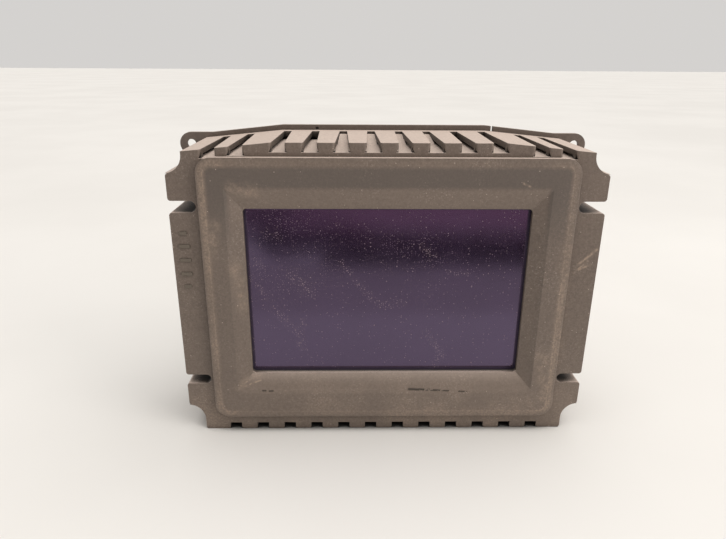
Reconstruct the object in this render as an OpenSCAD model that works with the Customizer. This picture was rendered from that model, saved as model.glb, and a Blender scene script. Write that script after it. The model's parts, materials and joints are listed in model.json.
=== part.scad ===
// Dashboard display module: a moulded housing with a raised bezel ring, side
// wings with guide grooves, a louvred top, a liquid crystal panel, a control
// board and a rear cover with two screw ears.
// X runs to the right, Y to the back and Z up. The module stands on Z = 0.

/* [Housing] */
// Width of the housing box, without its wings
box_w = 168; // [164:0.5:172]
// Width over the side wings
wing_w = 182; // [178:0.5:184]
// Height of the rib tops in the middle of the roof
box_h = 133.9; // [130:0.1:138]
// Depth from the front flange to the back of the rear cover's plate
body_d = 48.1; // [44:0.1:56]
// Thickness of the moulded walls
wall_t = 2.2; // [1.6:0.1:2.6]
// Height of the upper edge of the wings
wing_top = 121.5; // [120:0.1:122]
// Height of the lower edge of the wings
wing_bottom = 13.1; // [12:0.1:14]
// Radius of the coves between the wings and the box
cove_r = 7.5; // [7:0.1:8]
// Height of the upper guide groove's floor
upper_groove_z = 105.1; // [103:0.1:106]
// Width of the upper guide groove
upper_groove_w = 5; // [4.4:0.1:5.2]
// Height of the lower guide groove's floor
lower_groove_z = 24.4; // [23:0.1:25]
// Width of the lower guide groove
lower_groove_w = 4.6; // [4.4:0.1:5]
// Distance from the middle to the inner end of the grooves
groove_in_x = 79.7; // [79:0.1:81]

/* [Louvres] */
// Height of the ribs above the louvre floors
rib_h = 3.9; // [3.6:0.1:4.2]
// Width of a louvre channel at the front
channel_front_w = 5.6; // [5:0.1:6]
// Width of a louvre channel at the back
channel_back_w = 3.4; // [3:0.1:4]
// Gap under the ribs that lets air out
vent_gap = 1.5; // [0.8:0.1:1.8]
// Spacing of the notches along the bottom edge
notch_pitch = 12.73; // [12:0.01:13]
// Width of a bottom notch
notch_w = 5.4; // [4.6:0.1:6]
// Height of a bottom notch
notch_h = 3.2; // [2.6:0.1:3.6]

/* [Bezel ring] */
// Width of the ring
ring_w = 156.2; // [155:0.2:157.4]
// Height of the ring's lower edge
ring_bottom = 8.3; // [7.5:0.1:9]
// Height of the ring's upper edge
ring_top = 128.3; // [127:0.1:128.6]
// How far the ring stands out of the flange
ring_out = 3.2; // [2.6:0.1:3.4]
// Radius of the ring's corners
ring_r = 6.5; // [6:0.1:8]
// Width of the slanted band along the ring's outer edge
ring_band = 2.9; // [2:0.1:3.4]
// How far the band falls back towards the ring's outer edge
band_fall = 0.4; // [0.1:0.1:0.8]

/* [Screen] */
// Width of the screen opening
screen_w = 121.4; // [118:0.2:122]
// Height of the screen opening
screen_h = 77.2; // [75:0.1:78]
// Height of the middle of the screen
screen_z = 68.15; // [67.8:0.05:68.5]
// Margin of the sloped frame at the left and right of the opening
slope_side = 6.5; // [5:0.1:7]
// Margin of the sloped frame above the opening
slope_above = 8.7; // [8:0.1:9.4]
// Margin of the sloped frame below the opening
slope_below = 7.1; // [6.4:0.1:8]
// Radius of the opening's corners
screen_r = 1.6; // [1:0.1:2.2]

/* [Rear cover] */
// Height of the flat top edge of the plate
plate_top = 136.3; // [135.5:0.1:137]
// Height of the plate's edge above the ears
ear_top = 132.7; // [132.4:0.1:133]
// Spacing of the two ear holes
ear_pitch = 183; // [182:0.5:184]
// Height of the ear holes
ear_z = 127.3; // [127:0.1:127.5]
// Radius of the ears
ear_r = 5.4; // [5:0.1:5.4]
// Radius of the ear holes
ear_hole_r = 2.15; // [2:0.05:2.5]
// Depth of the rear box behind the plate
rear_box_d = 6; // [5:0.5:8]

/* [Electronics] */
// Distance from the flange to the front face of the board
board_y = 30; // [29:0.5:31]
// Width of the board
board_w = 155; // [154:0.5:155.5]
// Height of the board's lower edge
board_bottom = 17; // [16.5:0.1:17.5]
// Height of the board's upper edge
board_top = 117; // [116.5:0.1:117.5]
// Thickness of the board
board_t = 1.6; // [1.5:0.1:1.7]

/* [Hidden] */
$fn = 48;

// Colours
plastic = [0.40, 0.37, 0.34];
cover_plastic = [0.33, 0.29, 0.27];
steel = [0.72, 0.73, 0.75];
board_green = [0.10, 0.32, 0.20];
chip_black = [0.09, 0.09, 0.10];
flex_amber = [0.62, 0.38, 0.14];

// The flange's place: the front of the ring and the back of the rear box lie
// the same distance from the origin
back_y = body_d + rear_box_d;
flange_y = (ring_out - back_y) / 2;
eps = 0.01;

// Housing
half_w = box_w / 2;
half_wing = wing_w / 2;
plate_t = 2;
shell_d = body_d - plate_t;
wing_d = 44;
crown_x = 48;
crown_fall = 0.1;
floor_z = box_h - rib_h;
rear_strip_d = 7;
channel_d = body_d - rear_strip_d;
channel_x = [6.4, 19.2, 32, 44.9, 62, 73.2];
channel_taper = atan((channel_front_w - channel_back_w) / 2 / channel_d);
mouth_r = 1.1;
foot_w = 0.9;
foot_h = 3;
vent_from = 4;
vent_to = channel_d + 2.5;
vent_reach = 2.9;
ramp_from = 24;
ramp_rise = 2.7;
ramp_x = 25;
corner_r = 1.2;
tooth_r = 0.9;
cavity_x = half_w - wall_t;
cavity_z = notch_h + wall_t;
pocket_x = half_w + 1;

// Screw places, as [x, z]
lcd_screw_xz = [for (sx = [-1, 1], sz = [-1, 1]) [sx * 74.6, screen_z + sz * 36]];
board_screw_xz = [for (sx = [-1, 1], z = [22, 113]) [sx * 75, z]];
cover_screw_xz = [[-76.5, 10.6], [-30, 10.6], [30, 10.6], [76.5, 10.6], [-76.5, 120.6], [76.5, 120.6]];
pilot_r = 1.2;
post_r = 3.1;
lcd_boss_y = 7;

// Distances from the flange to the layers behind the screen opening
slope_y = 0.5;
gasket_y = wall_t;
frame_y = 3.2;
frame_t = 0.4;
polarizer_y = 3.5;
polarizer_t = 0.3;
glass_y = polarizer_y + polarizer_t;
glass_t = 0.7;
rear_polarizer_y = glass_y + 2 * glass_t;
rear_polarizer_t = 0.2;
prism_y = 5.6;
film_t = 0.25;
guide_y = 6.3;
guide_t = 3;
led_strip_z = screen_z - screen_h / 2 - 4.2;
reflector_y = guide_y + guide_t + 0.05;
tray_back_y = 9.7;
tray_y = 5.4;
lcd_back_y = 10.8;
frame_back_y = 11.4;
frame_w = 141;
frame_h = 95;
tray_play = 0.2;

// Electronics: the rear face of the board and the part places on it, as [x, z]
board_back_y = board_y + board_t;
processor_xz = [-24, 76];
processor_t = 2;
memory_x = 0;
power_x = 64;

// Flexible circuits
flex_t = 0.2;
flex_bend_r = 3;
flex_low_z = 12.4;
lcd_flex_w = 36;
led_flex_x = 46;
led_flex_w = 6;
led_flex_y = 7.8;
flex_up_y = board_back_y + 1.2;
socket_z = 21.6;
latch_h = 1.5;
latch_gap = 0.1;
latch_slot = 0.8;

// Rear connector
connector_x = 34;
connector_z = 58;
connector_w = 40;
connector_h = 15;
connector_wall = 1.3;
connector_floor_y = back_y - 12;
pin_columns = 10;
pin_pitch = 3;
pin_r = 0.5;

// Blank label on the back
label_x = -36;
label_z = 66;
label_w = 56;
label_h = 34;
label_t = 0.2;

// Moves its children from the flange's plane to their true place
module from_flange(y = 0) translate([0, flange_y + y, 0]) children();

// Extrudes a front view from the depth y0 to the depth y1
module deep(y0, y1) from_flange(y1) rotate([90, 0, 0]) linear_extrude(y1 - y0) children();

// Extrudes a side view, drawn as [y, z] from the flange, over a width
module across(w, x = 0)
    from_flange() translate([x - w / 2, 0, 0]) rotate([90, 0, 90]) linear_extrude(w) children();

// A cylinder along Y between two depths
module rod(x, z, r, y0, y1) deep(y0, y1) translate([x, z]) circle(r);

// A box between two depths, centred on x and z
module chip(x, z, w, h, y0, y1) deep(y0, y1) translate([x - w / 2, z - h / 2]) square([w, h]);

// Front view of a rectangle with round corners
module round_rect(w, z0, z1, r) {
    translate([-w / 2 + r, z0]) square([w - 2 * r, z1 - z0]);
    translate([-w / 2, z0 + r]) square([w, z1 - z0 - 2 * r]);
    for (x = [-w / 2 + r, w / 2 - r], z = [z0 + r, z1 - r]) translate([x, z]) circle(r);
}

// Front view of a rectangle around the screen's middle
module screen_rect(w, h, r = 0) {
    if (r > 0) round_rect(w, screen_z - h / 2, screen_z + h / 2, r);
    else translate([-w / 2, screen_z - h / 2]) square([w, h]);
}

module both_sides() {
    children();
    mirror([1, 0, 0]) children();
}

// A pan head screw along Y that is driven in from the back; its head rests at y
module screw(x, z, y, length, shank_r, head_r, head_t) {
    difference() {
        union() {
            rod(x, z, shank_r, y - length, y + eps);
            rod(x, z, head_r, y, y + head_t);
        }
        rod(x, z, head_r * 0.42, y + head_t * 0.4, y + head_t + 1);
    }
}

// Front view of the box under a crowned roof that lies drop below the rib tops
module crowned(half, bottom, drop) {
    edge_z = box_h - crown_fall * (half - crown_x) - drop;
    polygon([[-half, bottom], [half, bottom], [half, edge_z], [crown_x, box_h - drop],
        [-crown_x, box_h - drop], [-half, edge_z]]);
}

// Front view of one corner's waste: what a radius takes off
module corner_waste(x, z, sx, sz, r = corner_r) {
    translate([x, z]) difference() {
        translate([sx > 0 ? -r : 0, sz > 0 ? -r : 0]) square(r);
        translate([-sx * r, -sz * r]) circle(r);
    }
}

// Front view of a guide groove with a round inner end
module groove(z, w) {
    translate([groove_in_x + w / 2, z]) square([half_wing, w]);
    translate([groove_in_x + w / 2, z + w / 2]) circle(w / 2);
    corner_waste(half_wing, z, 1, 1);
    corner_waste(half_wing, z + w, 1, -1);
}

module grooves() {
    groove(upper_groove_z, upper_groove_w);
    groove(lower_groove_z, lower_groove_w);
}

// Front view of the right wing with its coves
module wing() {
    difference() {
        translate([half_w - 1, wing_bottom - cove_r])
            square([half_wing - half_w + 1, wing_top - wing_bottom + 2 * cove_r]);
        for (z = [wing_bottom - cove_r, wing_top + cove_r])
            translate([half_w + cove_r, z]) circle(cove_r);
        corner_waste(half_wing, wing_bottom, 1, -1);
        corner_waste(half_wing, wing_top, 1, 1);
    }
}

// Front view of a notch in the bottom edge, between two teeth with round corners
module notch(x) {
    translate([x - notch_w / 2, -notch_h]) square([notch_w, 2 * notch_h]);
    for (s = [-1, 1]) corner_waste(x + s * notch_w / 2, 0, -s, -1, tooth_r);
}

// Front views of the hollows behind the wings
module wing_pockets() {
    lower_groove_top = lower_groove_z + lower_groove_w;
    upper_groove_top = upper_groove_z + upper_groove_w;
    spans = [
        [wing_bottom + 2, lower_groove_z - 2],
        [lower_groove_top + 2, upper_groove_z - 2],
        [upper_groove_top + 2, wing_top - 2]
    ];
    for (s = spans)
        translate([pocket_x, s[0]]) square([half_wing - 1.8 - pocket_x, s[1] - s[0]]);
}

// Plan of one louvre channel, narrower towards the back, with a round mouth
module channel_plan(x) {
    front = channel_front_w / 2;
    back = channel_back_w / 2;
    r = mouth_r;
    mouth = front - (front - back) * r / channel_d + r;
    polygon([[x - front, -1], [x + front, -1], [x + back, channel_d], [x - back, channel_d]]);
    difference() {
        translate([x - mouth, -1]) square([2 * mouth, r + 1]);
        for (s = [-1, 1]) translate([x + s * mouth, r]) circle(r);
    }
}

// Front view of what the curved foot of a rib leaves free at a channel's side
module foot_waste(s) {
    r = (foot_w * foot_w + foot_h * foot_h) / (2 * foot_w);
    difference() {
        translate([s > 0 ? -eps : -foot_w, 0]) square([foot_w + eps, foot_h]);
        translate([s * r, foot_h]) circle(r);
    }
}

// One louvre channel: the groove between two ribs, the curved feet of the ribs
// at its mouth and the vents under them further back
module channel(x) {
    drop = max(0, crown_fall * (x - crown_x));
    vent_w = channel_back_w + 2 * vent_reach;
    from_flange() translate([0, 0, floor_z - drop]) linear_extrude(rib_h + 5) channel_plan(x);
    for (s = [-1, 1])
        from_flange() translate([x + s * (channel_front_w / 2 - eps), 0, floor_z - drop])
            rotate([90, 0, s * channel_taper]) translate([0, 0, -vent_from - 1])
                linear_extrude(vent_from + 3) foot_waste(s);
    from_flange(vent_from) translate([x - vent_w / 2, 0, floor_z - drop])
        cube([vent_w, vent_to - vent_from, vent_gap]);
}

// The sloped floor at the back of the middle channels
module channel_ramps() {
    for (x = channel_x)
        if (x < ramp_x)
            both_sides() across(channel_back_w + 1.2, x)
                polygon([[ramp_from, floor_z - 1], [channel_d + eps, floor_z - 1],
                    [channel_d + eps, floor_z + ramp_rise], [ramp_from, floor_z]]);
}

// The raised ring: a plate with round corners and a slanted band along its edge
module ring() {
    x = ring_w / 2;
    out = ring_out;
    edge_out = ring_out - band_fall;
    top_z = ring_top - ring_band;
    bottom_z = ring_bottom + ring_band;
    for (cx = [-1, 1] * (x - ring_r), cz = [ring_bottom + ring_r, ring_top - ring_r])
        from_flange() translate([cx, 0, cz]) rotate([90, 0, 0]) rotate_extrude()
            polygon([[0, -1], [ring_r, -1], [ring_r, edge_out], [ring_r - ring_band, out], [0, out]]);
    from_flange() translate([0, 0, ring_bottom + ring_r])
        linear_extrude(ring_top - ring_bottom - 2 * ring_r)
            polygon([[-x, 1], [x, 1], [x, -edge_out], [x - ring_band, -out], [ring_band - x, -out],
                [-x, -edge_out]]);
    across(ring_w - 2 * ring_r)
        polygon([[1, ring_bottom], [1, ring_top], [-edge_out, ring_top], [-out, top_z],
            [-out, bottom_z], [-edge_out, ring_bottom]]);
}

// What the sloped frame around the screen takes out of the ring
module screen_slope() {
    top_y = -ring_out - 1;
    fall = slope_y + ring_out;
    side = slope_side * (1 + 1 / fall);
    above = slope_above * (1 + 1 / fall);
    below = slope_below * (1 + 1 / fall);
    w = screen_w / 2;
    z0 = screen_z - screen_h / 2;
    z1 = screen_z + screen_h / 2;
    intersection() {
        from_flange() linear_extrude(200)
            polygon([[-w - side, top_y], [w + side, top_y], [w, slope_y], [-w, slope_y]]);
        across(wing_w)
            polygon([[top_y, z0 - below], [top_y, z1 + above], [slope_y, z1], [slope_y, z0]]);
    }
}

module front_housing() {
    color(plastic) difference() {
        union() {
            difference() {
                union() {
                    deep(0, shell_d) crowned(half_w, 0, rib_h - eps);
                    deep(0, shell_d) crowned(half_w, floor_z - 12, 0);
                    both_sides() deep(0, wing_d) wing();
                }
                deep(wall_t, body_d) difference() {
                    crowned(cavity_x, cavity_z, rib_h + wall_t);
                    both_sides() grooves_wall();
                }
                both_sides() deep(wall_t, body_d) wing_pockets();
                for (x = channel_x) both_sides() channel(x);
                for (i = [0.5:1:5.5]) both_sides() deep(-1, channel_d) notch(notch_pitch * i);
                both_sides() deep(-1, body_d) corner_waste(half_w, 0, 1, -1);
            }
            channel_ramps();
            ring();
            for (p = lcd_screw_xz) rod(p[0], p[1], 2.8, wall_t - eps, lcd_boss_y);
            for (p = board_screw_xz) rod(p[0], p[1], post_r, wall_t - eps, board_y);
            for (p = cover_screw_xz) rod(p[0], p[1], post_r, wall_t - eps, shell_d);
        }
        both_sides() deep(-1, body_d) grooves();
        screen_slope();
        deep(0, wall_t + 1) screen_rect(screen_w, screen_h, screen_r);
        for (p = lcd_screw_xz) rod(p[0], p[1], 0.9, wall_t + 0.6, lcd_boss_y + 1);
        for (p = board_screw_xz) rod(p[0], p[1], pilot_r, board_y - 10, board_y + 1);
        for (p = cover_screw_xz) rod(p[0], p[1], pilot_r, shell_d - 12, shell_d + 1);
    }
}

// Front view of the walls that line the guide grooves inside the box
module grooves_wall() {
    for (g = [[upper_groove_z, upper_groove_w], [lower_groove_z, lower_groove_w]])
        translate([groove_in_x - 1.4, g[0] - 1.4]) square([10, g[1] + 2.8]);
}

// Front view of the rear cover's plate with its two ears
module plate_outline() {
    x1 = 47.8;
    x2 = 81.2;
    ear_x = ear_pitch / 2;
    polygon([[-half_w, 0], [half_w, 0], [half_w, ear_top - 6], [x2 + 5, ear_top], [x2, ear_top],
        [x1, plate_top], [-x1, plate_top], [-x2, ear_top], [-x2 - 5, ear_top], [-half_w, ear_top - 6]]);
    both_sides() {
        translate([ear_x, ear_z]) circle(ear_r);
        translate([half_w - 6, ear_z - ear_r]) square([ear_x - half_w + 6, ear_r + ear_top - ear_z]);
    }
}

module rear_cover() {
    box_x = 72;
    box_z0 = 15;
    box_z1 = 116;
    vent_w = 2.4;
    color(cover_plastic) difference() {
        union() {
            deep(shell_d, body_d) plate_outline();
            deep(shell_d, back_y) round_rect(2 * box_x, box_z0, box_z1, 5);
            for (p = cover_screw_xz) rod(p[0], p[1], 4.4, body_d - eps, body_d + 1);
        }
        deep(shell_d - 1, back_y - plate_t)
            round_rect(2 * box_x - 2 * plate_t, box_z0 + plate_t, box_z1 - plate_t, 3);
        for (x = [-1, 1] * ear_pitch / 2) rod(x, ear_z, ear_hole_r, shell_d - 1, body_d + 1);
        for (p = cover_screw_xz) rod(p[0], p[1], 1.7, shell_d - 1, body_d + 2);
        for (i = [-7:7]) chip(i * 5.6, 98, vent_w, 20, back_y - 3, back_y + 1);
        for (i = [0:6]) chip(-60 + i * 5.6, 34, vent_w, 20, back_y - 3, back_y + 1);
        chip(connector_x, connector_z, connector_w + 0.6, connector_h + 0.6, back_y - 3, back_y + 1);
        chip(51.2, plate_top, 1, 7, shell_d - 1, body_d + 1);
        chip(-31.7, plate_top - 1.6, 1.4, 1.2, shell_d - 1, shell_d + 0.8);
        chip(label_x, label_z, label_w + 1, label_h + 1, back_y - label_t, back_y + 1);
    }
}

module window_gasket() {
    color([0.08, 0.08, 0.09]) deep(gasket_y, frame_y) difference() {
        screen_rect(screen_w + 10, screen_h + 10, 2);
        screen_rect(screen_w + 0.2, screen_h + 0.2, screen_r);
    }
}

module lcd_frame() {
    window_w = screen_w + 3;
    window_h = screen_h + 3;
    color(steel) difference() {
        union() {
            deep(frame_y, frame_back_y) screen_rect(frame_w, frame_h);
            for (p = lcd_screw_xz) {
                rod(p[0], p[1], 2.6, lcd_boss_y, lcd_boss_y + frame_t);
                deep(lcd_boss_y, lcd_boss_y + frame_t)
                    translate([p[0] > 0 ? frame_w / 2 - 1 : p[0], p[1] - 2.6])
                        square([abs(p[0]) - frame_w / 2 + 1, 5.2]);
            }
        }
        deep(frame_y + frame_t, frame_back_y + 1)
            screen_rect(frame_w - 2 * frame_t, frame_h - 2 * frame_t);
        deep(frame_y - 1, frame_y + 1) screen_rect(window_w, window_h);
        for (p = lcd_screw_xz) rod(p[0], p[1], 1.2, lcd_boss_y - 1, lcd_boss_y + 2);
        chip(0, screen_z - frame_h / 2, lcd_flex_w + 3, 3, frame_y + frame_t, 5.2);
        chip(led_flex_x, screen_z - frame_h / 2, led_flex_w + 2, 3, led_flex_y - 0.6, led_flex_y + 0.8);
    }
}

module front_polarizer() {
    color([0.16, 0.13, 0.22]) deep(polarizer_y, glass_y) screen_rect(screen_w + 2, screen_h + 2);
}

module lcd_front_glass() {
    color([0.55, 0.62, 0.66, 0.8])
        deep(glass_y, glass_y + glass_t) screen_rect(screen_w + 9, screen_h + 7);
}

module lcd_rear_glass() {
    color([0.50, 0.58, 0.62, 0.8]) deep(glass_y + glass_t, rear_polarizer_y)
        translate([-screen_w / 2 - 6.5, screen_z - screen_h / 2 - 7])
            square([screen_w + 13, screen_h + 12.5]);
}

module rear_polarizer() {
    color([0.20, 0.18, 0.26])
        deep(rear_polarizer_y, rear_polarizer_y + rear_polarizer_t) screen_rect(screen_w + 3, screen_h + 3);
}

module prism_sheet() {
    color([0.88, 0.90, 0.93]) deep(prism_y, prism_y + film_t) screen_rect(screen_w + 6, screen_h + 5);
}

module diffuser_sheet() {
    y = prism_y + film_t + 0.05;
    color([0.95, 0.95, 0.94]) deep(y, y + film_t) screen_rect(screen_w + 6, screen_h + 5);
}

module light_guide() {
    color([0.86, 0.93, 0.95, 0.8]) deep(guide_y, guide_y + guide_t) screen_rect(screen_w + 5, screen_h + 5);
}

module reflector_sheet() {
    color([0.97, 0.97, 0.97])
        deep(reflector_y, reflector_y + film_t) screen_rect(screen_w + 6, screen_h + 5);
}

module backlight_tray() {
    w = frame_w - 2 * frame_t - 2 * tray_play;
    h = frame_h - 2 * frame_t - 2 * tray_play;
    color([0.93, 0.93, 0.91]) difference() {
        deep(tray_y, lcd_back_y) screen_rect(w, h);
        deep(tray_y - 1, tray_back_y) screen_rect(screen_w + 7, screen_h + 9);
        chip(0, screen_z, 90, 40, tray_back_y - 1, lcd_back_y + 1);
        chip(led_flex_x, screen_z - screen_h / 2 - 6, led_flex_w + 1, 12, led_flex_y - 0.5, led_flex_y + 0.7);
    }
}

module lcd_back_plate() {
    w = frame_w - 2 * frame_t - 2 * tray_play;
    h = frame_h - 2 * frame_t - 2 * tray_play;
    color(steel) deep(lcd_back_y, frame_back_y) difference() {
        screen_rect(w, h, 2);
        for (sx = [-1, 1], sz = [-1, 1]) translate([sx * 55, screen_z + sz * 34]) circle(2);
    }
}

module led_strip() {
    color(flex_amber) chip(0, led_strip_z, screen_w, flex_t, guide_y + 0.1, guide_y + guide_t - 0.1);
}

module leds() {
    count = 12;
    h = 1;
    color([0.98, 0.93, 0.62]) for (i = [0:count - 1])
        chip((i - (count - 1) / 2) * screen_w / count, led_strip_z + flex_t / 2 + h / 2,
            3.4, h, guide_y + 0.3, guide_y + guide_t - 0.3);
}

// Side view of a flexible circuit, as a band flex_t thick: down at depth y0
// from the height z0, back under the board, and up at the socket to z1
module flex_path(y0, z0, z1) {
    r = flex_bend_r;
    y1 = flex_up_y;
    low = flex_low_z;
    translate([y0, low + r]) square([flex_t, z0 - low - r]);
    translate([y0 + r, low]) square([y1 + flex_t - y0 - 2 * r, flex_t]);
    translate([y1, low + r]) square([flex_t, z1 - low - r]);
    for (bend = [[y0 + r, -r], [y1 + flex_t - r, 0]])
        intersection() {
            translate([bend[0], low + r]) difference() {
                circle(r);
                circle(r - flex_t);
            }
            translate([bend[0] + bend[1], low]) square(r);
        }
}

module led_tail() {
    color(flex_amber) across(led_flex_w, led_flex_x)
        flex_path(led_flex_y, led_strip_z - flex_t / 2, socket_z + 2);
}

module lcd_flex() {
    bond_y = glass_y + glass_t - flex_t;
    color(flex_amber) across(lcd_flex_w)
        flex_path(bond_y, screen_z - screen_h / 2 - 4, socket_z + 2);
}

module lcd_screws() {
    color(steel) for (p = lcd_screw_xz)
        screw(p[0], p[1], lcd_boss_y + frame_t, 4, 0.9, 2.1, 1.3);
}

module main_board() {
    color(board_green) deep(board_y, board_back_y) difference() {
        translate([-board_w / 2, board_bottom]) square([board_w, board_top - board_bottom]);
        for (p = board_screw_xz) translate(p) circle(1.6);
    }
}

module board_screws() {
    color(steel) for (p = board_screw_xz) screw(p[0], p[1], board_back_y, 9, pilot_r, 2.4, 1.6);
}

// A box-shaped part that is soldered to the rear face of the board
module on_board(x, z, w, h, t) chip(x, z, w, h, board_back_y, board_back_y + t);

module processor() {
    color(chip_black) on_board(processor_xz[0], processor_xz[1], 22, 22, processor_t);
}

module thermal_pad() {
    y = board_back_y + processor_t;
    color([0.62, 0.66, 0.70]) chip(processor_xz[0], processor_xz[1], 18, 18, y, y + 2);
}

// The can stands over the processor and the memory chips; small holes let air in
module shield_can() {
    x = (processor_xz[0] + memory_x) / 2 - 4;
    z = processor_xz[1];
    w = 54;
    h = 34;
    wall = 0.4;
    inside_t = processor_t + 2;
    color(steel) difference() {
        on_board(x, z, w, h, inside_t + wall);
        chip(x, z, w - 2 * wall, h - 2 * wall, board_back_y - 1, board_back_y + inside_t);
        for (i = [0:5], s = [-1, 1])
            rod(memory_x - 2 + i * 2.2, z + s * 12, 0.7, board_back_y + 3, board_back_y + 5);
    }
}

module memory_chips() {
    color(chip_black) for (s = [-1, 1]) on_board(memory_x, processor_xz[1] + s * 9, 18, 10, 1.2);
}

module video_controller() {
    color(chip_black) on_board(processor_xz[0], 42, 16, 16, 1.5);
}

// A package with its soldered metal tab above it
module power_regulator() {
    z = 88;
    h = 9;
    color(chip_black) {
        on_board(power_x, z, 10.4, h, 4.5);
        on_board(power_x, z + h / 2 + 2, 10, 4.2, 1.3);
    }
}

module bus_transceiver() {
    color(chip_black) on_board(power_x, 38, 5, 4, 1.5);
}

module clock_crystal() {
    color(steel) on_board(-44, 45, 5, 3.2, 1.1);
}

// Four cans, each on its square base
module electrolytic_capacitors() {
    base_t = 1.2;
    color([0.80, 0.81, 0.83]) for (x = [36, 48], z = [88, 102]) {
        on_board(x, z, 8.6, 8.6, base_t);
        rod(x, z, 4, board_back_y + base_t - eps, board_back_y + 9.8);
    }
}

module power_inductors() {
    x = power_x + 5;
    t = 4.8;
    color([0.20, 0.20, 0.22]) for (z = [62, 75])
        difference() {
            on_board(x, z, 10, 10, t);
            rod(x, z, 2, board_back_y + t - 0.6, board_back_y + t + 1);
        }
}

// Rows of small chips along the processor, the panel socket and the upper edge
module ceramic_capacitors() {
    long = 1.6;
    short = 0.9;
    color([0.70, 0.60, 0.46]) {
        for (i = [0:7]) on_board(-66 + i * 4, 104, long, short, short);
        for (i = [0:6]) on_board(-58, 56 + i * 4, short, long, short);
        for (i = [0:5]) on_board(-8 + i * 3.4, 34, long, short, short);
    }
}

// A socket for a flexible circuit that comes up from below
module flex_socket(x, w) {
    difference() {
        chip(x, socket_z + 2.4, w + 5, 4.8, board_back_y, board_back_y + 2.8);
        chip(x, socket_z + 1, w + 0.4, 3, flex_up_y - 0.3, flex_up_y + flex_t + 0.3);
    }
}

module fpc_socket() {
    color([0.90, 0.88, 0.80]) flex_socket(0, lcd_flex_w);
}

module led_socket() {
    color([0.90, 0.88, 0.80]) flex_socket(led_flex_x, led_flex_w);
}

// The latch is a bar around the flexible circuit; it pulls down off the socket
module fpc_latch() {
    latch_w = lcd_flex_w + 6;
    z = socket_z - latch_gap - latch_h / 2;
    mid_y = flex_up_y + flex_t / 2;
    color([0.25, 0.22, 0.20]) difference() {
        chip(0, z, latch_w, latch_h, board_back_y + 0.35, board_back_y + 2.4);
        chip(0, z, lcd_flex_w + 1.2, latch_h + 1, mid_y - latch_slot / 2, mid_y + latch_slot / 2);
    }
}

module rear_connector() {
    color(chip_black) difference() {
        chip(connector_x, connector_z, connector_w, connector_h, board_back_y, back_y);
        chip(connector_x, connector_z, connector_w - 2 * connector_wall,
            connector_h - 2 * connector_wall, connector_floor_y, back_y + 1);
        for (x = [-1, 1] * 8)
            chip(connector_x + x, connector_z + connector_h / 2, 2, 2, connector_floor_y, back_y + 1);
        for (i = [0:pin_columns - 1], k = [-0.5, 0.5])
            rod(pin_x(i), connector_z + k * pin_pitch, pin_r, board_back_y - 1, back_y);
    }
}

function pin_x(i) = connector_x + (i - (pin_columns - 1) / 2) * pin_pitch;

module connector_pins() {
    color([0.83, 0.72, 0.42]) for (i = [0:pin_columns - 1], k = [-0.5, 0.5])
        rod(pin_x(i), connector_z + k * pin_pitch, pin_r, board_back_y, back_y - 5.5);
}

module cover_screws() {
    color(steel) for (p = cover_screw_xz) screw(p[0], p[1], body_d + 1, 10, pilot_r, 2.8, 1.9);
}

module blank_label() {
    color([0.90, 0.90, 0.88]) chip(label_x, label_z, label_w, label_h, back_y - label_t, back_y);
}

front_housing();
rear_cover();
window_gasket();
lcd_frame();
front_polarizer();
lcd_front_glass();
lcd_rear_glass();
rear_polarizer();
prism_sheet();
diffuser_sheet();
light_guide();
reflector_sheet();
backlight_tray();
lcd_back_plate();
led_strip();
leds();
led_tail();
lcd_flex();
lcd_screws();
main_board();
board_screws();
processor();
thermal_pad();
shield_can();
memory_chips();
video_controller();
power_regulator();
bus_transceiver();
clock_crystal();
electrolytic_capacitors();
power_inductors();
ceramic_capacitors();
fpc_socket();
fpc_latch();
led_socket();
rear_connector();
connector_pins();
cover_screws();
blank_label();
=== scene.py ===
"""Looks of the dashboard display module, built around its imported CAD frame."""

import json
import math

import bmesh
import bpy
from mathutils import Matrix, Vector


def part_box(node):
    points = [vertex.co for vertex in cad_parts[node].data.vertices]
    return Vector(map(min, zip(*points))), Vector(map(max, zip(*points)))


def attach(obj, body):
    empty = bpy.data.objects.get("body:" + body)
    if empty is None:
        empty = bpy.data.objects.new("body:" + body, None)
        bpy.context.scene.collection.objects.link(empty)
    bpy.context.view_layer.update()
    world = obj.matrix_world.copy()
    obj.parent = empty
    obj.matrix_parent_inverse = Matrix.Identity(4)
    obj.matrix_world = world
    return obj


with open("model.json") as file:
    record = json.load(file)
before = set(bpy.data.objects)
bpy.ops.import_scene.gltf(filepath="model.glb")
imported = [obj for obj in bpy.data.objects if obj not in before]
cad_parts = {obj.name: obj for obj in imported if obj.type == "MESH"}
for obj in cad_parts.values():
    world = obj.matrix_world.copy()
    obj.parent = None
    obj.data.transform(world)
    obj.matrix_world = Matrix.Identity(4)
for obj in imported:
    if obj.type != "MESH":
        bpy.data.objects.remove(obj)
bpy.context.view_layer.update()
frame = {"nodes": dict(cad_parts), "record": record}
nodes = frame["nodes"]

MM = 0.001

# Camera: lens for a 36 mm wide sensor, place from the flange's front plane
LENS = 28.86
CAMERA_X, CAMERA_AHEAD, CAMERA_Z = -14.7 * MM, 236.1 * MM, 164.7 * MM
PITCH_DOWN, YAW_RIGHT, ROLL = math.radians(19.7), math.radians(1.04), math.radians(0.36)
RING_OUT = 3.2 * MM

# The screen opening, worked out from the CAD pieces it belongs to, and the ring's outline
housing_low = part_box("front_housing")[0]
screen_low, screen_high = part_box("front_polarizer")
FLANGE_Y = housing_low.y + RING_OUT
SCREEN_X = (screen_high.x - screen_low.x) / 2 - 1 * MM
SCREEN_Z0, SCREEN_Z1 = screen_low.z + 1 * MM, screen_high.z - 1 * MM
RING_HALF_W = 78.1 * MM
RING_Z0, RING_Z1 = 8.3 * MM, 128.3 * MM
# From the ring's outline inwards: where its flat face starts, and where the slope to the screen starts
FACE_FROM, SLOPE_FROM = -2.6 * MM, -13.4 * MM
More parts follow.
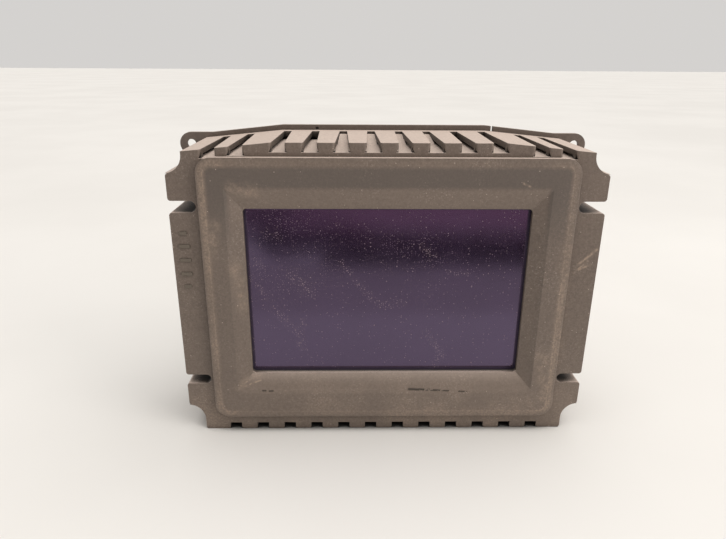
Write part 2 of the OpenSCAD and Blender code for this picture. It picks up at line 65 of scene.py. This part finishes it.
# The height where the louvred roof begins, and the reach within which a hollow gets painted shade
ROOF_Z = 110 * MM
HOLLOW = 7 * MM


# ---------------------------------------------------------------- camera, stage, light

def make_camera():
    data = bpy.data.cameras.new("camera")
    data.lens, data.sensor_width = LENS, 36
    data.clip_start, data.clip_end = 0.01, 50
    camera = bpy.data.objects.new("camera", data)
    turn = (Matrix.Rotation(-YAW_RIGHT, 4, "Z") @ Matrix.Rotation(math.pi / 2 - PITCH_DOWN, 4, "X")
            @ Matrix.Rotation(ROLL, 4, "Z"))
    camera.matrix_world = Matrix.Translation((CAMERA_X, FLANGE_Y - CAMERA_AHEAD, CAMERA_Z)) @ turn
    bpy.context.scene.collection.objects.link(camera)
    bpy.context.scene.camera = camera


def area_light(name, place, target, size, watts, colour):
    data = bpy.data.lights.new(name, "AREA")
    data.shape, data.size, data.size_y = "RECTANGLE", size[0], size[1]
    data.energy, data.color = watts, colour
    light = bpy.data.objects.new(name, data)
    light.location = place
    light.rotation_euler = (Vector(target) - Vector(place)).to_track_quat("-Z", "Y").to_euler()
    bpy.context.scene.collection.objects.link(light)


def plane(name, centre, half_x, half_y):
    mesh = bpy.data.meshes.new(name)
    corners = [(sx * half_x, sy * half_y, 0) for sx, sy in ((-1, -1), (1, -1), (1, 1), (-1, 1))]
    mesh.from_pydata(corners, [], [(0, 1, 2, 3)])
    piece = bpy.data.objects.new(name, mesh)
    piece.location = centre
    bpy.context.scene.collection.objects.link(piece)
    return piece


# ---------------------------------------------------------------- node helpers

class Recipe:
    """A material's node tree, with short calls for the nodes that the materials share."""

    def __init__(self, name):
        self.material = bpy.data.materials.new(name)
        self.material.use_nodes = True
        self.tree = self.material.node_tree
        self.tree.nodes.clear()
        self.out = self.tree.nodes.new("ShaderNodeOutputMaterial")
        self.shader = self.tree.nodes.new("ShaderNodeBsdfPrincipled")
        self.tree.links.new(self.shader.outputs[0], self.out.inputs["Surface"])
        self.place = self.node("ShaderNodeTexCoord").outputs["Object"]

    def node(self, kind, **settings):
        made = self.tree.nodes.new(kind)
        for key, value in settings.items():
            setattr(made, key, value)
        return made

    def feed(self, socket, value):
        """Links a socket to another node's output, or sets it to a number or colour."""
        if isinstance(value, bpy.types.NodeSocket):
            self.tree.links.new(value, socket)
        elif isinstance(value, tuple) and len(value) == 3 and socket.type == "RGBA":
            socket.default_value = (*value, 1)
        else:
            socket.default_value = value

    def math(self, operation, a, b=0.0, clamp=False):
        made = self.node("ShaderNodeMath", operation=operation, use_clamp=clamp)
        self.feed(made.inputs[0], a)
        self.feed(made.inputs[1], b)
        return made.outputs[0]

    def ramp(self, value, low, high, to_low=0.0, to_high=1.0):
        """Maps low..high smoothly onto to_low..to_high and holds it there."""
        made = self.node("ShaderNodeMapRange", interpolation_type="SMOOTHSTEP")
        for socket, number in zip(made.inputs, (value, low, high, to_low, to_high)):
            self.feed(socket, number)
        return made.outputs[0]

    def axis(self, vector, name):
        made = self.node("ShaderNodeSeparateXYZ")
        self.feed(made.inputs[0], vector)
        return made.outputs[name]

    def stretched(self, x, y, z, shift=0.0, turn=0.0):
        made = self.node("ShaderNodeMapping")
        self.feed(made.inputs["Vector"], self.place)
        made.inputs["Location"].default_value = (shift, shift * 0.7, shift * 1.3)
        made.inputs["Rotation"].default_value = (0, turn, 0)
        made.inputs["Scale"].default_value = (x, y, z)
        return made.outputs[0]

    def noise(self, scale, detail=3.0, rough=0.55, vector=None):
        made = self.node("ShaderNodeTexNoise")
        self.feed(made.inputs["Vector"], vector or self.place)
        self.feed(made.inputs["Scale"], scale)
        self.feed(made.inputs["Detail"], detail)
        self.feed(made.inputs["Roughness"], rough)
        return made.outputs["Fac"]

    def cells(self, per_metre, flat=False):
        """A Voronoi grid, in space or, where flat, over the front view alone."""
        made = self.node("ShaderNodeTexVoronoi", voronoi_dimensions="2D" if flat else "3D")
        self.feed(made.inputs["Vector"], self.front_view() if flat else self.place)
        self.feed(made.inputs["Scale"], per_metre)
        return made

    def front_view(self):
        """The place seen from the front, X and Z, with small waves that make spots uneven."""
        waves = self.node("ShaderNodeTexNoise")
        self.feed(waves.inputs["Vector"], self.place)
        self.feed(waves.inputs["Scale"], 1100.0)
        small = self.node("ShaderNodeVectorMath", operation="SCALE")
        self.feed(small.inputs[0], waves.outputs["Color"])
        self.feed(small.inputs["Scale"], 0.9 * MM)
        moved = self.node("ShaderNodeVectorMath", operation="ADD")
        self.feed(moved.inputs[0], self.place)
        self.feed(moved.inputs[1], small.outputs[0])
        seen = self.node("ShaderNodeCombineXYZ")
        self.feed(seen.inputs["X"], self.axis(moved.outputs[0], "X"))
        self.feed(seen.inputs["Y"], self.axis(moved.outputs[0], "Z"))
        return seen.outputs[0]

    def specks(self, per_metre, radius, share, flat=False):
        """Small spots: a share of the cells of a grid hold one, radius is in cells."""
        grid = self.cells(per_metre, flat)
        near = self.ramp(grid.outputs["Distance"], radius * 0.5, radius, 1, 0)
        chosen = self.math("LESS_THAN", self.axis(grid.outputs["Color"], "X"), share)
        return self.math("MULTIPLY", near, chosen)

    def mix(self, share, a, b):
        made = self.node("ShaderNodeMix", data_type="RGBA")
        self.feed(made.inputs["Factor"], share)
        self.feed(made.inputs["A"], a)
        self.feed(made.inputs["B"], b)
        return made.outputs["Result"]

    def soft_edges(self, radius):
        bevel = self.node("ShaderNodeBevel", samples=6)
        self.feed(bevel.inputs["Radius"], radius)
        return bevel.outputs[0]

    def bump(self, height, distance, strength=1.0, normal=None):
        made = self.node("ShaderNodeBump")
        self.feed(made.inputs["Height"], height)
        self.feed(made.inputs["Distance"], distance)
        self.feed(made.inputs["Strength"], strength)
        if normal is not None:
            self.feed(made.inputs["Normal"], normal)
        return made.outputs[0]

    def stroke(self, x0, z0, x1, z1, width):
        """1 near a line across the front, given in mm, fading out at the width."""
        along = Vector((x1 - x0, z1 - z0)) * MM
        x = self.math("SUBTRACT", self.axis(self.place, "X"), x0 * MM)
        z = self.math("SUBTRACT", self.axis(self.place, "Z"), z0 * MM)
        share = self.math("ADD", self.math("MULTIPLY", x, along.x), self.math("MULTIPLY", z, along.y))
        share = self.math("DIVIDE", share, along.length_squared, True)
        x = self.math("SUBTRACT", x, self.math("MULTIPLY", share, along.x))
        z = self.math("SUBTRACT", z, self.math("MULTIPLY", share, along.y))
        squares = self.math("ADD", self.math("MULTIPLY", x, x), self.math("MULTIPLY", z, z))
        return self.ramp(self.math("SQRT", squares), 0.0, width * MM, 1, 0)

    def most(self, *values):
        result = values[0]
        for value in values[1:]:
            result = self.math("MAXIMUM", result, value)
        return result

    def times(self, *values):
        result = values[0]
        for value in values[1:]:
            result = self.math("MULTIPLY", result, value)
        return result

    def recess(self, reach):
        """1 in the open, falling towards 0 in narrow hollows."""
        made = self.node("ShaderNodeAmbientOcclusion", samples=8)
        self.feed(made.inputs["Distance"], reach)
        return made.outputs["AO"]

    def upward(self):
        """1 on surfaces that face up, 0 on the others."""
        return self.ramp(self.axis(self.node("ShaderNodeNewGeometry").outputs["Normal"], "Z"), 0.19, 0.9)

    def edges(self, radius):
        """1 along sharp and rounded edges, 0 on flat faces."""
        bevel = self.node("ShaderNodeBevel", samples=4)
        self.feed(bevel.inputs["Radius"], radius)
        made = self.node("ShaderNodeVectorMath", operation="DOT_PRODUCT")
        self.feed(made.inputs[0], bevel.outputs[0])
        self.feed(made.inputs[1], self.node("ShaderNodeNewGeometry").outputs["True Normal"])
        return self.ramp(made.outputs["Value"], 0.80, 0.995, 1, 0)

    def set(self, **sockets):
        for key, value in sockets.items():
            self.feed(self.shader.inputs[key.replace("_", " ")], value)
        return self


# ---------------------------------------------------------------- materials

def ring_distance(r):
    """Distance from the ring's outline, in metres: below 0 inside the ring, above 0 outside."""
    corner = 6.5 * MM
    middle_z, half_h = (RING_Z0 + RING_Z1) / 2, (RING_Z1 - RING_Z0) / 2
    x = r.math("SUBTRACT", r.math("ABSOLUTE", r.axis(r.place, "X")), RING_HALF_W - corner)
    z = r.math("SUBTRACT", r.axis(r.place, "Z"), middle_z)
    z = r.math("SUBTRACT", r.math("ABSOLUTE", z), half_h - corner)
    out_x, out_z = r.math("MAXIMUM", x, 0.0), r.math("MAXIMUM", z, 0.0)
    outside = r.math("SQRT", r.math("ADD", r.math("MULTIPLY", out_x, out_x),
                                    r.math("MULTIPLY", out_z, out_z)))
    inside = r.math("MINIMUM", r.math("MAXIMUM", x, z), 0.0)
    return r.math("SUBTRACT", r.math("ADD", outside, inside), corner)


def housing_plastic(name, base, dust, dusty=1.0, front=False):
    """Moulded ABS with a fine grain, dust on what faces up that is partly painted top light, specks,
    scuffs, edge wear that is partly a painted highlight, and painted shade in hollows.
    """
    r = Recipe(name)
    open_air = r.recess(HOLLOW)
    on_roof = r.ramp(r.axis(r.place, "Z"), ROOF_Z, ROOF_Z + 6 * MM)
    up = r.times(r.upward(), r.most(on_roof, r.ramp(open_air, 0.50, 0.80)))
    patches = r.ramp(r.noise(48, 4, 0.6), 0.42, 0.68)
    colour = r.mix(r.ramp(r.noise(30, 4), 0.3, 0.7), scaled(base, 0.93), scaled(base, 1.07))
    colour = r.mix(r.ramp(r.noise(700, 4, 0.7), 0.36, 0.64), colour, scaled(base, 1.20))
    colour = r.mix(r.ramp(r.noise(1500, 2), 0.50, 0.72, 0, 0.5), colour, scaled(base, 0.70))
    powder = r.ramp(r.noise(1300, 2, 0.7), 0.52, 0.70)
    powder = r.times(powder, r.math("ADD", patches, 0.3), 0.22 * dusty)
    # Edge wear in dust colour, partly a painted highlight along the edges
    edge_wear_and_highlight = r.times(r.edges(0.45 * MM), r.ramp(r.noise(420, 4), 0.36, 0.66, 0.04, 0.40 * dusty))
    dirt = r.math("MAXIMUM", powder, edge_wear_and_highlight)
    colour = r.mix(dirt, colour, scaled(dust, 0.8))
    if front:
        far = ring_distance(r)
        z = r.axis(r.place, "Z")
        on_ring = r.times(r.ramp(far, FACE_FROM - 2.6 * MM, FACE_FROM, 1, 0),
                          r.ramp(far, SLOPE_FROM, SLOPE_FROM + 2.4 * MM))
        on_slope = r.ramp(far, SLOPE_FROM - 0.2 * MM, SLOPE_FROM + 1.8 * MM, 1, 0)
        # Painted shade: the ring's face is darkened and cooled, more towards its top, standing in for less
        # light reaching it there
        painted_ring_shade = r.times(on_ring, r.ramp(z, 85 * MM, 116 * MM, 0.10, 0.65))
        colour = r.mix(painted_ring_shade, colour, scaled(RING_SHADE_TONE, 0.75))
        # Painted light: the slope is lightened along its upper and lower rows, where more light falls on it
        slope_light_rows = r.most(r.ramp(z, 95 * MM, 110 * MM), r.ramp(z, 24 * MM, 34 * MM, 1, 0))
        colour = r.mix(r.times(on_slope, slope_light_rows, 0.16), colour, scaled(base, 2.0))
        tan = ring_dust(r, patches)
        colour = r.mix(tan, colour, TAN)
        dirt = r.math("MAXIMUM", dirt, tan)
    # Dust on up-facing faces, partly painted top light: its pale tone also stands for the light falling on
    # them; paler still in hollows
    top = r.times(up, r.ramp(r.noise(900, 4, 0.7), 0.25, 0.70, 0.66, 0.92))
    colour = r.mix(top, colour, r.mix(r.ramp(open_air, 0.35, 0.75), scaled(dust, 1.5), dust))
    speck = r.most(r.specks(430, 0.11, 0.22 * dusty), r.specks(190, 0.045, 0.30 * dusty),
                   r.times(r.specks(800, 0.16, 0.40), patches, 0.6 * dusty))
    colour = r.mix(r.times(speck, 0.60), colour, dust)
    if front:
        colour = r.mix(scuffs(r), colour, (0.012, 0.010, 0.008))
    # Painted shade: hollows, and the sides of things inside them, darken towards a tenth of the base
    # colour, as shade falls there
    hollow_shade = r.most(r.times(r.ramp(open_air, 0.28, 0.70, 0.94, 0), r.ramp(up, 0.0, 0.6, 1, 0)),
                   r.ramp(open_air, 0.06, 0.28, 0.94, 0))
    colour = r.mix(hollow_shade, colour, scaled(base, 0.10))
    grain = r.math("ADD", r.times(r.noise(2600, 2), 0.7), r.times(r.noise(900, 3), 0.4))
    bumped = r.bump(r.math("ADD", grain, r.times(speck, 0.8)), 0.05 * MM, 0.6, r.soft_edges(0.35 * MM))
    rough = r.ramp(r.math("MAXIMUM", dirt, top), 0, 0.7, 0.52, 0.80)
    r.set(Base_Color=colour, Roughness=rough, Normal=bumped)
    r.shader.inputs["Specular IOR Level"].default_value = 0.38
    return r


def scaled(colour, factor):
    return tuple(min(1.0, c * factor) for c in colour)


def ring_dust(r, patches):
    """Tan dust on the ring's slanted band and corners, in streaks, and in wiped patches, and tan near the
    bottom of the front that is partly painted light bounced up from the floor.
    """
    far = ring_distance(r)
    grit = r.ramp(r.noise(1100, 3, 0.75), 0.38, 0.64, 0.25, 1)
    band = r.ramp(r.math("ABSOLUTE", r.math("ADD", far, 2.2 * MM)), 0.6 * MM, 2.4 * MM, 1, 0)
    line = r.ramp(r.math("ABSOLUTE", r.math("ADD", far, 2.9 * MM)), 0.1 * MM, 0.7 * MM, 1, 0)
    runs = r.ramp(r.noise(26, 4, 0.65), 0.40, 0.60)
    at_sides = r.ramp(r.math("ABSOLUTE", r.axis(r.place, "X")), 60 * MM, 72 * MM, 0.30, 1)
    low = r.ramp(r.axis(r.place, "Z"), 0.0, 40 * MM, 0.8, 0.0)
    near = r.most(at_sides, low)
    band = r.times(r.most(r.times(band, r.math("ADD", r.times(runs, 0.26), 0.10)),
                          r.times(line, r.math("ADD", r.times(runs, 0.22), 0.28))), near, grit)
    smears = r.times(r.most(*(r.stroke(*smear) for smear in HOUSING_SMEARS)), grit,
                     r.ramp(r.noise(300, 4, 0.7), 0.38, 0.66, 0.08, 0.40))
    scratches = r.times(r.most(*(r.stroke(*line) for line in SCRATCHES)),
                        r.ramp(r.noise(500, 2), 0.40, 0.55, 0.1, 0.5))
    front = r.ramp(r.axis(r.place, "Y"), FLANGE_Y + 1 * MM, FLANGE_Y + 3 * MM, 1, 0)
    # Tan near the bottom of the front: dust, and partly painted light bounced up from the floor
    low_dust_and_light = r.times(low, r.math("ADD", patches, 0.4), grit, 0.27)
    return r.times(r.most(band, smears, scratches, low_dust_and_light), front)


def scuffs(r):
    """Short black marks on the lower edge of the sloped frame."""
    dashes = r.most(r.stroke(-56.0, 22.3, -54.7, 22.3, 0.7), r.stroke(-52.9, 22.1, -51.4, 22.2, 0.7),
                    r.stroke(11.0, 22.8, 15.5, 22.6, 0.9))
    broken = r.times(r.stroke(15.5, 22.7, 25.0, 22.2, 0.9), r.ramp(r.noise(420, 2), 0.44, 0.50))
    faint = r.times(r.stroke(25.0, 22.2, 37.5, 21.5, 0.7), r.ramp(r.noise(330, 2), 0.52, 0.56))
    return r.times(r.most(dashes, broken, faint), 0.85)


# Lines across the front as x, z to x, z and a width, in mm: dust wiped on the housing, scratches, and
# dust wiped on the screen
HOUSING_SMEARS = ((-67.6, 23.9, -58.3, 28.5, 3.4), (-65.5, 84.0, -63.0, 62.0, 4.0),
                  (-72.0, 101.0, -74.5, 86.0, 4.0), (-64.0, 116.0, -55.0, 114.5, 5.0),
                  (71.0, 40.0, 74.5, 18.0, 6.0), (76.0, 90.0, 78.0, 35.0, 5.0))
SCRATCHES = ((82.4, 82.2, 89.7, 89.1, 1.0), (81.0, 78.5, 86.5, 84.0, 0.8),
             (83.0, 80.0, 88.0, 82.5, 0.8), (54.4, 118.4, 57.4, 117.0, 0.7),
             (-66.0, 24.6, -60.2, 27.8, 0.7), (-64.5, 24.0, -57.0, 26.6, 0.6))
SMEARS = ((-58.9, 75.0, -54.2, 67.6, 3.0), (-54.2, 67.6, -46.9, 56.3, 3.2), (-46.9, 56.3, -39.2, 48.5, 3.4),
          (-39.2, 48.5, -37.7, 40.6, 3.0), (-36.4, 54.3, -39.2, 48.5, 2.6), (-20.4, 82.2, -11.9, 72.2, 2.8),
          (-11.9, 72.2, -3.1, 61.9, 3.0), (-3.1, 63.0, 7.3, 62.5, 3.2), (18.5, 48.4, 26.1, 37.4, 2.6),
          (26.1, 37.4, 22.8, 30.8, 3.0), (28.0, 77.3, 35.3, 76.8, 2.6), (-57.6, 82.2, -55.2, 80.4, 3.6),
          (-41.8, 76.8, -33.5, 67.6, 4.5), (-51.9, 95.4, -47.0, 94.6, 4.0), (15.0, 90.3, 20.3, 84.1, 3.6))


def screen_glass(name):
    """A dark polarizer with a soft gloss, a darker rim, dust and wiped arcs of dust."""
    r = Recipe(name)
    colour = r.mix(r.ramp(r.noise(30, 3), 0.3, 0.7), (0.009, 0.005, 0.013), (0.014, 0.008, 0.020))
    rim_x = r.math("SUBTRACT", SCREEN_X, r.math("ABSOLUTE", r.axis(r.place, "X")))
    mid_z, half_z = (SCREEN_Z0 + SCREEN_Z1) / 2, (SCREEN_Z1 - SCREEN_Z0) / 2
    rim_z = r.math("ABSOLUTE", r.math("SUBTRACT", r.axis(r.place, "Z"), mid_z))
    rim = r.math("MINIMUM", rim_x, r.math("SUBTRACT", half_z, rim_z))
    dull = r.ramp(rim, 0.4 * MM, 1.5 * MM, 0.9, 0)
    arcs = r.most(*(r.stroke(*smear) for smear in SMEARS))
    clouds = r.ramp(r.noise(38, 4, 0.65), 0.40, 0.66)
    middle = r.times(r.ramp(r.axis(r.place, "Z"), 45 * MM, 80 * MM), clouds)
    crowd = r.math("ADD", r.most(r.times(arcs, 0.8), r.times(middle, 0.30)), 0.06, True)
    dust = r.most(r.specks(640, 0.15, 0.40, True), r.specks(1100, 0.21, 0.34, True))
    lone = r.most(r.specks(420, 0.090, 0.20, True), r.times(r.specks(800, 0.14, 0.10, True), 0.6))
    marks = r.math("MAXIMUM", r.times(dust, crowd), r.times(lone, 0.8))
    haze = r.times(arcs, r.ramp(r.noise(700, 4, 0.8), 0.45, 0.75), 0.10)
    shown = r.math("ADD", r.times(marks, 0.55), haze, True)
    colour = r.mix(shown, r.mix(dull, colour, (0.006, 0.005, 0.004)), (0.52, 0.39, 0.37))
    smear = r.ramp(r.noise(60, 4, 0.6, r.stretched(1, 1, 2.6, 0.2, 0.5)), 0.35, 0.75, 0.13, 0.17)
    rough = r.math("ADD", r.math("MAXIMUM", smear, r.times(dull, 0.9)), r.times(marks, 0.5), True)
    r.set(Base_Color=colour, Roughness=rough, Normal=r.bump(r.noise(3500, 1), 0.003 * MM, 0.2))
    r.shader.inputs["IOR"].default_value = 2.05
    r.shader.inputs["Specular Tint"].default_value = (0.79, 0.62, 1.0, 1)
    return r


def metal(name, base, rough, brush=(30, 30, 2400)):
    """Sheet or screw metal with drawing lines, stains and dulled edges."""
    r = Recipe(name)
    lines = r.noise(1, 3, 0.6, r.stretched(*brush))
    stain = r.ramp(r.noise(160, 4), 0.40, 0.70)
    colour = r.mix(r.math("MULTIPLY", stain, 0.4), base, scaled(base, 0.6))
    r.set(Base_Color=colour, Metallic=1.0, Normal=r.bump(lines, 0.02 * MM, 0.4),
          Roughness=r.ramp(r.math("ADD", lines, stain), 0.4, 1.6, rough, rough + 0.25))
    return r


def moulded(name, base, rough=0.5, grain=1800):
    """Plain moulded plastic or rubber of a small part: fine grain, mottling, a little dust."""
    r = Recipe(name)
    paler = tuple(min(1, c * 1.25 + 0.004) for c in base)
    colour = r.mix(r.ramp(r.noise(140, 4), 0.35, 0.7), base, paler)
    dust = r.math("MAXIMUM", r.specks(500, 0.12, 0.05), r.math("MULTIPLY", r.upward(), 0.25))
    colour = r.mix(r.math("MULTIPLY", dust, 0.7), colour, (0.42, 0.37, 0.32))
    r.set(Base_Color=colour, Roughness=r.ramp(r.noise(220, 3), 0.3, 0.7, rough, min(1.0, rough + 0.2)),
          Normal=r.bump(r.noise(grain, 3), 0.03 * MM, 0.5))
    return r


def film(name, base, rough, clear=0.0):
    """A thin sheet: faint ripples, rolling marks and a soft gloss."""
    r = Recipe(name)
    ripple = r.noise(1, 3, 0.5, r.stretched(40, 40, 260, 0.1))
    colour = r.mix(r.ramp(ripple, 0.35, 0.7, 0, 0.5), base, scaled(base, 0.85))
    r.set(Base_Color=colour, Roughness=r.ramp(ripple, 0.3, 0.7, rough, rough + 0.15),
          Normal=r.bump(ripple, 0.02 * MM, 0.3))
    r.shader.inputs["Transmission Weight"].default_value = clear
    return r


def circuit_board(name):
    """Green solder mask over copper tracks, with pads and fibre weave."""
    r = Recipe(name)
    bricks = r.node("ShaderNodeTexBrick", offset=0.5, squash=0.7)
    r.feed(bricks.inputs["Vector"], r.stretched(1, 1, 1, 0, 0))
    r.feed(bricks.inputs["Scale"], 170.0)
    r.feed(bricks.inputs["Mortar Size"], 0.03)
    tracks = r.math("MULTIPLY", bricks.outputs["Fac"], r.ramp(r.noise(60, 2), 0.42, 0.5))
    colour = r.mix(tracks, (0.012, 0.085, 0.038), (0.03, 0.17, 0.07))
    pads = r.specks(420, 0.16, 0.12)
    colour = r.mix(pads, colour, (0.55, 0.56, 0.52))
    r.set(Base_Color=colour, Roughness=r.ramp(r.noise(200, 3), 0.3, 0.7, 0.28, 0.45), Metallic=pads,
          Normal=r.bump(r.math("ADD", tracks, pads), 0.03 * MM, 0.6))
    return r


def floor_paint(name):
    """Pale matt paint that goes dark where the light can't get under the object."""
    r = Recipe(name)
    colour = r.mix(r.ramp(r.noise(3, 4), 0.3, 0.7), (0.76, 0.745, 0.72), (0.80, 0.785, 0.76))
    colour = r.mix(r.ramp(r.recess(10 * MM), 0.32, 0.58, 0.97, 0), colour, (0.02, 0.018, 0.016))
    r.set(Base_Color=colour, Roughness=0.6)
    r.shader.inputs["Specular IOR Level"].default_value = 0.0
    return r


# Base colours of the housing and the cover, of the painted shade on the ring's face, and of the dust on
# them, which on up-facing faces is partly painted top light
HOUSING = (0.147, 0.115, 0.094)
COVER = (0.134, 0.106, 0.089)
RING_SHADE_TONE = (0.140, 0.118, 0.104)
DUST = (0.64, 0.525, 0.455)
TAN = (0.48, 0.36, 0.27)

LOOKS = {
    "housing_plastic": lambda n: housing_plastic(n, HOUSING, DUST, front=True),
    "cover_plastic": lambda n: housing_plastic(n, COVER, scaled(DUST, 0.6), 0.5),
    "foam": lambda n: moulded(n, (0.008, 0.008, 0.009), 0.8, 900),
    "steel": lambda n: metal(n, (0.56, 0.57, 0.58), 0.30),
    "screw_steel": lambda n: metal(n, (0.42, 0.42, 0.43), 0.34, (900, 900, 900)),
    "screen_surface": screen_glass,
    "panel_glass": lambda n: film(n, (0.35, 0.42, 0.45), 0.05, 0.7),
    "polarizer_film": lambda n: film(n, (0.04, 0.035, 0.06), 0.15),
    "optical_film": lambda n: film(n, (0.80, 0.82, 0.85), 0.35, 0.3),
    "acrylic": lambda n: film(n, (0.75, 0.82, 0.84), 0.08, 0.8),
    "white_film": lambda n: film(n, (0.85, 0.85, 0.85), 0.5),
    "white_plastic": lambda n: moulded(n, (0.78, 0.78, 0.76), 0.45),
    "flex_film": lambda n: film(n, (0.36, 0.17, 0.04), 0.25),
    "led_package": lambda n: moulded(n, (0.85, 0.74, 0.36), 0.3),
    "circuit_board": circuit_board,
    "chip_black": lambda n: moulded(n, (0.014, 0.014, 0.016), 0.45),
    "thermal_rubber": lambda n: moulded(n, (0.30, 0.33, 0.36), 0.7),
    "capacitor_can": lambda n: metal(n, (0.70, 0.71, 0.73), 0.25),
    "ferrite": lambda n: moulded(n, (0.035, 0.035, 0.040), 0.6),
    "ceramic": lambda n: moulded(n, (0.42, 0.32, 0.20), 0.35),
    "socket_plastic": lambda n: moulded(n, (0.76, 0.72, 0.60), 0.45),
    "latch_plastic": lambda n: moulded(n, (0.055, 0.042, 0.038), 0.45),
    "connector_plastic": lambda n: moulded(n, (0.018, 0.018, 0.020), 0.42),
    "contact_brass": lambda n: metal(n, (0.75, 0.60, 0.28), 0.22),
    "label_film": lambda n: film(n, (0.80, 0.80, 0.78), 0.40),
}


def paint_all():
    """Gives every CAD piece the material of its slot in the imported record."""
    made = {}
    for part in frame["record"]["subparts"]:
        slot = part["material_slot"]
        if slot not in made:
            made[slot] = LOOKS[slot](slot).material
        mesh = nodes[part["node"]].data
        mesh.materials.clear()
        mesh.materials.append(made[slot])


# ---------------------------------------------------------------- shapes

def soften(node, width):
    """Rounds a CAD piece's sharp edges as a mould does, with modifiers alone.

    Large faces with notches would close over them in the bevel, so they are cut into triangles first.
    """
    piece = nodes[node]
    weld = piece.modifiers.new("weld", "WELD")
    weld.merge_threshold = 0.002 * MM
    flat = piece.modifiers.new("flat", "DECIMATE")
    flat.decimate_type, flat.angle_limit = "DISSOLVE", math.radians(0.5)
    piece.modifiers.new("triangles", "TRIANGULATE")
    bevel = piece.modifiers.new("bevel", "BEVEL")
    bevel.width, bevel.segments, bevel.limit_method = width, 2, "ANGLE"
    bevel.angle_limit = math.radians(28)
    piece.modifiers.new("weighted", "WEIGHTED_NORMAL")
    for face in piece.data.polygons:
        face.use_smooth = True


def mark_bars():
    """Five small raised bars on the left wing, with rounded edges, in place of a moulded mark."""
    mesh = bpy.data.meshes.new("mark_bars")
    work = bmesh.new()
    for z, length in ((72.5, 3.2), (78.2, 4.8), (84.4, 4.8), (90.6, 4.8), (96.3, 3.2)):
        made = bmesh.ops.create_cube(work, size=1)
        place = Matrix.Translation((-86 * MM, FLANGE_Y, z * MM))
        bmesh.ops.transform(work, matrix=place @ Matrix.Diagonal((length * MM, 1.3 * MM, 1.5 * MM, 1)),
                            verts=made["verts"])
    work.to_mesh(mesh)
    work.free()
    bars = bpy.data.objects.new("mark_bars", mesh)
    bpy.context.scene.collection.objects.link(bars)
    bevel = bars.modifiers.new("bevel", "BEVEL")
    bevel.width, bevel.segments = 0.25 * MM, 3
    mesh.materials.append(bpy.data.materials["housing_plastic"])
    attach(bars, "module")


def card(name, x, y, half_x, half_y, turn, tone):
    """A card that lies on the floor in front and only shows as a reflection in the screen."""
    piece = plane(name, (x * MM, FLANGE_Y + y * MM, 0.4 * MM), half_x * MM, half_y * MM)
    piece.rotation_euler.z = math.radians(turn)
    paint = Recipe(name)
    paint.set(Base_Color=tone, Roughness=1.0)
    paint.shader.inputs["Specular IOR Level"].default_value = 0.0
    piece.data.materials.append(paint.material)
    piece.visible_camera = piece.visible_diffuse = piece.visible_shadow = False
    piece.visible_transmission = False


def make_world():
    """Pale surroundings, dim straight in front of the object."""
    world = bpy.data.worlds.new("studio")
    world.use_nodes = True
    tree = world.node_tree
    place = tree.nodes.new("ShaderNodeTexCoord")
    split = tree.nodes.new("ShaderNodeSeparateXYZ")
    tree.links.new(place.outputs["Generated"], split.inputs[0])
    level = tree.nodes.new("ShaderNodeMapRange")
    level.interpolation_type = "SMOOTHSTEP"
    for name, value in (("From Min", -1.0), ("From Max", -0.35), ("To Min", 0.10), ("To Max", 0.66)):
        level.inputs[name].default_value = value
    tree.links.new(split.outputs["Y"], level.inputs["Value"])
    background = tree.nodes["Background"]
    background.inputs["Color"].default_value = (1.0, 0.975, 0.95, 1)
    tree.links.new(level.outputs["Result"], background.inputs["Strength"])
    bpy.context.scene.world = world


def sun_light(name, towards, strength, soft_angle, colour):
    data = bpy.data.lights.new(name, "SUN")
    data.energy, data.angle, data.color = strength, math.radians(soft_angle), colour
    light = bpy.data.objects.new(name, data)
    light.rotation_euler = Vector(towards).to_track_quat("Z", "Y").to_euler()
    bpy.context.scene.collection.objects.link(light)


# ---------------------------------------------------------------- the scene

make_camera()
paint_all()
for node, width in (("front_housing", 0.3 * MM), ("rear_cover", 0.25 * MM), ("cover_screws", 0.2 * MM),
                    ("rear_connector", 0.2 * MM)):
    soften(node, width)
mark_bars()
floor = plane("floor", (0, 0, 0), 12, 12)
floor.data.materials.append(floor_paint("floor_paint").material)
card("far_card", 100, -740, 1500, 400, 0, (0.55, 0.34, 0.42))
card("shade_card", 0, -176, 600, 50, 0, (0.60, 0.57, 0.55))
card("band_card", 158, -276, 200, 54, 0, (0.008, 0.006, 0.008))
card("slant_card", -90, -390, 135, 60, 64, (0.008, 0.006, 0.008))
make_world()
sun_light("key", (0.25, -0.15, 1.0), 1.7, 80, (1.0, 0.97, 0.93))
area_light("side", (0.9, -0.55, 0.45), (0, 0, 0.06), (0.6, 0.6), 4, (1.0, 0.95, 0.90))
bpy.context.scene.view_settings.view_transform = "Standard"
